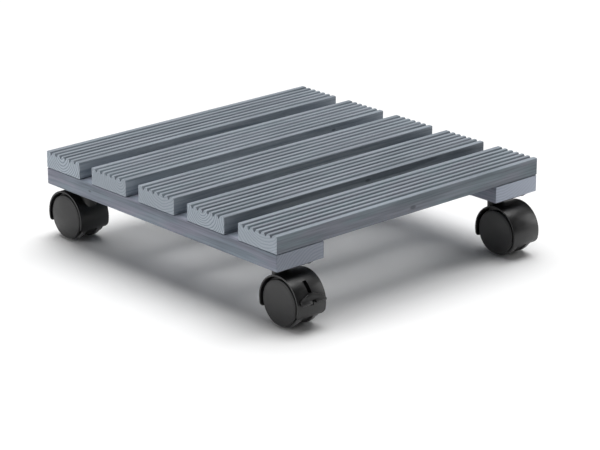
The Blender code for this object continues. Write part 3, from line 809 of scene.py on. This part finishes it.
def hood_cutters(castor):
    width = 2 * castor.half_width
    deep = -castor.hood_radius * 2
    pin_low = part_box(f"{castor.name}_kingpin")[0].z - castor.axle.z - MM
    pin = [(0, pin_low), (KINGPIN_HOLE_RADIUS, pin_low), (KINGPIN_HOLE_RADIUS, -deep), (0, -deep)]
    axle = [(0, -width), (AXLE_HOLE_RADIUS, -width), (AXLE_HOLE_RADIUS, width), (0, width)]
    cutters = [rod(pin, (0, -castor.trail, 0), 32), rod(axle, (0, 0, 0), 32, "X")]
    if castor.name in BRAKED:
        through = WEB_HALF_WIDTH + MM
        slot = sector(POCKET_RADIUS, castor.hood_radius + 2 * MM, SLOT_LOW, SLOT_HIGH)
        pocket = sector(POCKET_RADIUS, POCKET_OUTER_RADIUS, SLOT_HIGH - 0.1, POCKET_HIGH)
        window = sector(WINDOW_INNER_RADIUS, POCKET_OUTER_RADIUS, WINDOW_LOW, WINDOW_HIGH)
        for outline, half in ((slot, SLOT_HALF_WIDTH), (pocket, SLOT_HALF_WIDTH), (window, through)):
            cutters.append(mesh_object("tool", prism(outline, -half, half, along_x)))
        radius = TRUNNION_RADIUS + 0.3 * MM
        pivot = polar(PIVOT_RADIAL, PIVOT_ANGLE)
        profile = [(0, -through), (radius, -through), (radius, through), (0, through)]
        cutters.append(rod(profile, (0, pivot.x, pivot.y), 24, "X"))
    return cutters


def make_hood(castor, material):
    node = f"{castor.name}_hood"
    hood = mesh_object(f"{node}_moulding", hood_shell(castor), material)
    web = mesh_object("tool", prism(web_outline(castor), -WEB_HALF_WIDTH, WEB_HALF_WIDTH, along_x))
    neck = rod(neck_profile(castor), (0, -castor.trail, 0), 48)
    room = castor.hood_radius - HOOD_WALL - 0.1 * MM
    for side in (-1, 1):
        low, high = sorted((side * WEB_HALF_WIDTH, side * (castor.half_width + MM)))
        cut(neck, [rod([(0, low), (room, low), (room, high), (0, high)], (0, 0, 0), 96, "X")])
    cut(hood, [web, neck], "UNION")
    cut(hood, hood_cutters(castor))
    hood.data.shade_smooth()
    hood.data.set_sharp_from_angle(angle=math.radians(38))
    castor.put(hood)
    stand_for(hood, node, f"{castor.name}_castor")


def wheel_profile(inner_face, dome_top, radius):
    """(radius, u) round a cup-shaped wheel: bore, hub, cup, tread, undercut, cap edge, margin ring, dome."""
    cap_edge = dome_top - 1.9 * MM
    cap_radius = radius - 1.5 * MM
    cap_back = cap_edge - 1.6 * MM
    cap_round = 1.1 * MM
    tread_end = dome_top - 6.2 * MM
    tread_round = 0.8 * MM
    undercut = radius - 3.0 * MM
    rim = radius - 2.2 * MM
    rim_round = 0.6 * MM
    floor = dome_top - 7.4 * MM
    chamfer = 0.8 * MM
    bore_end = dome_top - 3.1 * MM
    hub, bore = 4.5 * MM, AXLE_HOLE_RADIUS
    points = [(0, bore_end), (bore, bore_end), (bore, inner_face)]
    points += [(hub, inner_face), (hub, floor - chamfer), (hub + chamfer, floor)]
    points += [(rim - chamfer, floor), (rim, floor - chamfer), (rim, inner_face)]
    points += arc((radius - rim_round, inner_face + rim_round), rim_round, -math.pi / 2, 0, 4)
    points += arc((radius - tread_round, tread_end - tread_round), tread_round, 0, math.radians(80), 5)
    points += [(undercut, tread_end + 0.3 * MM), (undercut, cap_back - 0.1 * MM)]
    points += [(cap_radius - 0.3 * MM, cap_back)]
    points += arc((cap_radius - cap_round, cap_edge - cap_round), cap_round, 0, math.radians(72), 8)
    margin = cap_radius - 1.7 * MM
    points += [(margin + 0.5 * MM, cap_edge + 0.10 * MM), (margin + 0.2 * MM, cap_edge + 0.04 * MM)]
    points += [(margin, cap_edge + 0.06 * MM)]
    dome_foot = cap_edge + 0.2 * MM
    dome_radius = margin - 0.15 * MM
    dome_steps = 14
    for i in range(dome_steps):
        share = 1 - i / dome_steps
        points.append((dome_radius * share, dome_foot + (dome_top - dome_foot) * (1 - share ** 2)))
    return points + [(0, dome_top)]


def make_wheel(castor, label, material):
    node = f"{castor.name}_{label}"
    low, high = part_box(node)
    middle = (low + high) / 2
    outwards = 1 if middle.x > castor.axle.x else -1
    inner_face = min(abs(low.x - castor.axle.x), abs(high.x - castor.axle.x))
    dome_top = max(abs(low.x - castor.axle.x), abs(high.x - castor.axle.x))
    profile = [(r, outwards * u) for r, u in wheel_profile(inner_face, dome_top, (high.z - low.z) / 2)]
    wheel = mesh_object(f"{node}_moulding", turned(profile, 96, "X"), material, 30)
    place(wheel, castor.axle)
    stand_for(wheel, node, f"{node}_body")


def lever_plate_outline(castor):
    """The thin plate in the hood's slot, from the pedal over the pivot to the shoe."""
    pivot = polar(PIVOT_RADIAL, PIVOT_ANGLE)
    shoe = polar(SHOE_RADIAL, SHOE_ANGLE)
    radius = castor.hood_radius
    points = [polar(radius + 1.6 * MM, math.radians(15.5)), polar(radius + 0.6 * MM, PEDAL_TOP_ANGLE)]
    points += arc(pivot, LEVER_EYE_RADIUS, math.radians(45), math.radians(55), 1)
    points += arc(shoe, SHOE_ARM_RADIUS, math.radians(-10), math.radians(170), 10)
    points += arc(pivot, LEVER_EYE_RADIUS, math.radians(170), math.radians(275), 10)
    return points


def pedal_side_outline(castor):
    """The pedal from the side: a curved back along the hood, and a top that swells out to the tip."""
    clear = castor.hood_radius + 0.4 * MM
    points = arc((0, 0), clear, PEDAL_LOW_ANGLE, PEDAL_TOP_ANGLE, 14)
    points += [polar(clear + swell, math.radians(angle)) for swell, angle in PEDAL_SWELL]
    points.append(polar(PEDAL_TIP_RADIUS, math.radians(10.5)))
    points.append(polar(PEDAL_TIP_RADIUS - 0.2 * MM, math.radians(8)))
    points.append(polar(clear + 0.8 * MM, PEDAL_LOW_ANGLE))
    return points


def pedal_front_outline(half_width):
    """The pedal from the front: two wings with round tips, a notch under the middle and a peak above it."""
    low = PEDAL_LOW_EDGE
    end = half_width
    tip = 1.2 * MM
    right = [(1.9 * MM, low + 2.8 * MM), (2.3 * MM, low), (end - tip, low)]
    right += [tuple(point) for point in arc((end - tip, low + tip), tip, -math.pi / 2 + 0.4, 0, 3)]
    right += [(end, low + 3.0 * MM), (end - 0.5 * MM, low + 3.8 * MM), (end - 1.8 * MM, low + 4.3 * MM)]
    right += [(8.0 * MM, 8.5 * MM), (5.5 * MM, 9.3 * MM), (3.6 * MM, 10.0 * MM), (2.4 * MM, 10.6 * MM)]
    right += [(1.6 * MM, 11.8 * MM)]
    left = [(-u, w) for u, w in reversed(right)]
    return right + left


def make_lever(castor, material):
    node = f"{castor.name}_brake_lever"
    low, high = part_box(node)
    half_width = (high.x - low.x) / 2
    outline = pedal_side_outline(castor)
    lever = mesh_object(f"{node}_moulding", prism(outline, -half_width, half_width, along_x), material)
    front = mesh_object("tool", prism(pedal_front_outline(half_width), 0, 2 * castor.hood_radius, along_y))
    cut(lever, [front], "INTERSECT")
    soften(lever, 0.25 * MM, 2, 40)
    plate = prism(lever_plate_outline(castor), -LEVER_HALF_THICKNESS, LEVER_HALF_THICKNESS, along_x)
    extras = [mesh_object("tool", plate)]
    pivot = polar(PIVOT_RADIAL, PIVOT_ANGLE)
    shoe = polar(SHOE_RADIAL, SHOE_ANGLE)
    pins = ((pivot, TRUNNION_RADIUS, TRUNNION_HALF_LENGTH), (shoe, SHOE_RADIUS, SHOE_HALF_LENGTH))
    for spot, radius, half in pins:
        profile = [(0, -half), (radius, -half), (radius, half), (0, half)]
        extras.append(rod(profile, (0, spot.x, spot.y), 24, "X"))
    cut(lever, extras, "UNION")
    lever.data.shade_smooth()
    lever.data.set_sharp_from_angle(angle=math.radians(40))
    castor.put(lever)
    stand_for(lever, node, f"{castor.name}_brake")


def refinish(node, material):
    """A CAD node whose shape stays gets a better material."""
    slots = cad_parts[node].data.materials
    slots.clear()
    slots.append(material)


def make_castors(hood_nylon, wheel_nylon, plate_finish, steel):
    for name in CASTORS:
        castor = Castor(name)
        make_plate(name, plate_finish)
        make_hood(castor, hood_nylon)
        for label in WHEEL_LABELS:
            make_wheel(castor, label, wheel_nylon)
        if name in BRAKED:
            make_lever(castor, hood_nylon)
        refinish(f"{name}_kingpin", steel)
        refinish(f"{name}_axle", steel)


# ---------------------------------------------------------------- studio

def direction(azimuth, elevation):
    """From the object towards a viewer or lamp. Azimuth 0 is -Y and 90 degrees is +X."""
    flat = math.cos(elevation)
    return Vector((math.sin(azimuth) * flat, -math.cos(azimuth) * flat, math.sin(elevation)))


def aim(obj, target):
    obj.rotation_euler = (target - obj.location).to_track_quat("-Z", "Y").to_euler()


def add_camera():
    data = bpy.data.cameras.new("camera")
    data.lens = CAMERA_LENS
    data.sensor_width = CAMERA_SENSOR
    data.clip_end = CAMERA_REACH
    camera = bpy.data.objects.new("camera", data)
    bpy.context.scene.collection.objects.link(camera)
    camera.location = CAMERA_AIM + direction(CAMERA_AZIMUTH, CAMERA_ELEVATION) * CAMERA_DISTANCE
    aim(camera, CAMERA_AIM)
    bpy.context.scene.camera = camera


def add_lamp(name, kind, azimuth, elevation, distance):
    data = bpy.data.lights.new(name, kind)
    lamp = bpy.data.objects.new(name, data)
    bpy.context.scene.collection.objects.link(lamp)
    lamp.location = direction(math.radians(azimuth), math.radians(elevation)) * distance
    aim(lamp, LAMP_AIM)
    return data


def add_softbox(name, azimuth, elevation, distance, size, power):
    data = add_lamp(name, "AREA", azimuth, elevation, distance)
    data.shape = "RECTANGLE"
    data.size, data.size_y = size
    data.energy = power


def add_overhead():
    """A wide soft source far above, which lights the whole floor evenly."""
    data = add_lamp("overhead", "SUN", *OVERHEAD_PLACE)
    data.angle = math.radians(OVERHEAD_SPREAD)
    data.energy = OVERHEAD_STRENGTH


def add_world():
    world = bpy.data.worlds.new("studio")
    bpy.context.scene.world = world
    world.use_nodes = True
    background = world.node_tree.nodes["Background"]
    background.inputs["Color"].default_value = (1, 1, 1, 1)
    background.inputs["Strength"].default_value = WORLD_STRENGTH


def add_floor():
    bm = bmesh.new()
    bmesh.ops.create_grid(bm, x_segments=1, y_segments=1, size=FLOOR_REACH)
    floor = mesh_object("floor", bm, pale_floor())
    floor.location.z = cad_box[0][2] - FLOOR_GAP


def add_studio():
    add_camera()
    add_floor()
    add_world()
    add_overhead()
    for name, setting in SOFTBOXES.items():
        add_softbox(name, *setting)
    bpy.context.scene.view_settings.view_transform = "Standard"


def main():
    hood_nylon = nylon("hood_nylon", (0.010, 0.010, 0.0105), 0.36, 1500.0, 0.03 * MM)
    wheel_nylon = nylon("wheel_nylon", (0.013, 0.013, 0.0135), 0.42, 1300.0, 0.03 * MM, TREAD_RADIUS)
    steel = zinc("zinc_steel", (0.62, 0.62, 0.60), 0.38)
    black_zinc = zinc("black_zinc", (0.060, 0.060, 0.064), 0.45)
    screw_zinc = zinc("zinc_screw", (0.66, 0.65, 0.60), 0.34)
    make_slats()
    make_battens()
    make_screws({"slat": screw_zinc, "plate": black_zinc})
    make_castors(hood_nylon, wheel_nylon, black_zinc, steel)
    add_studio()


main()
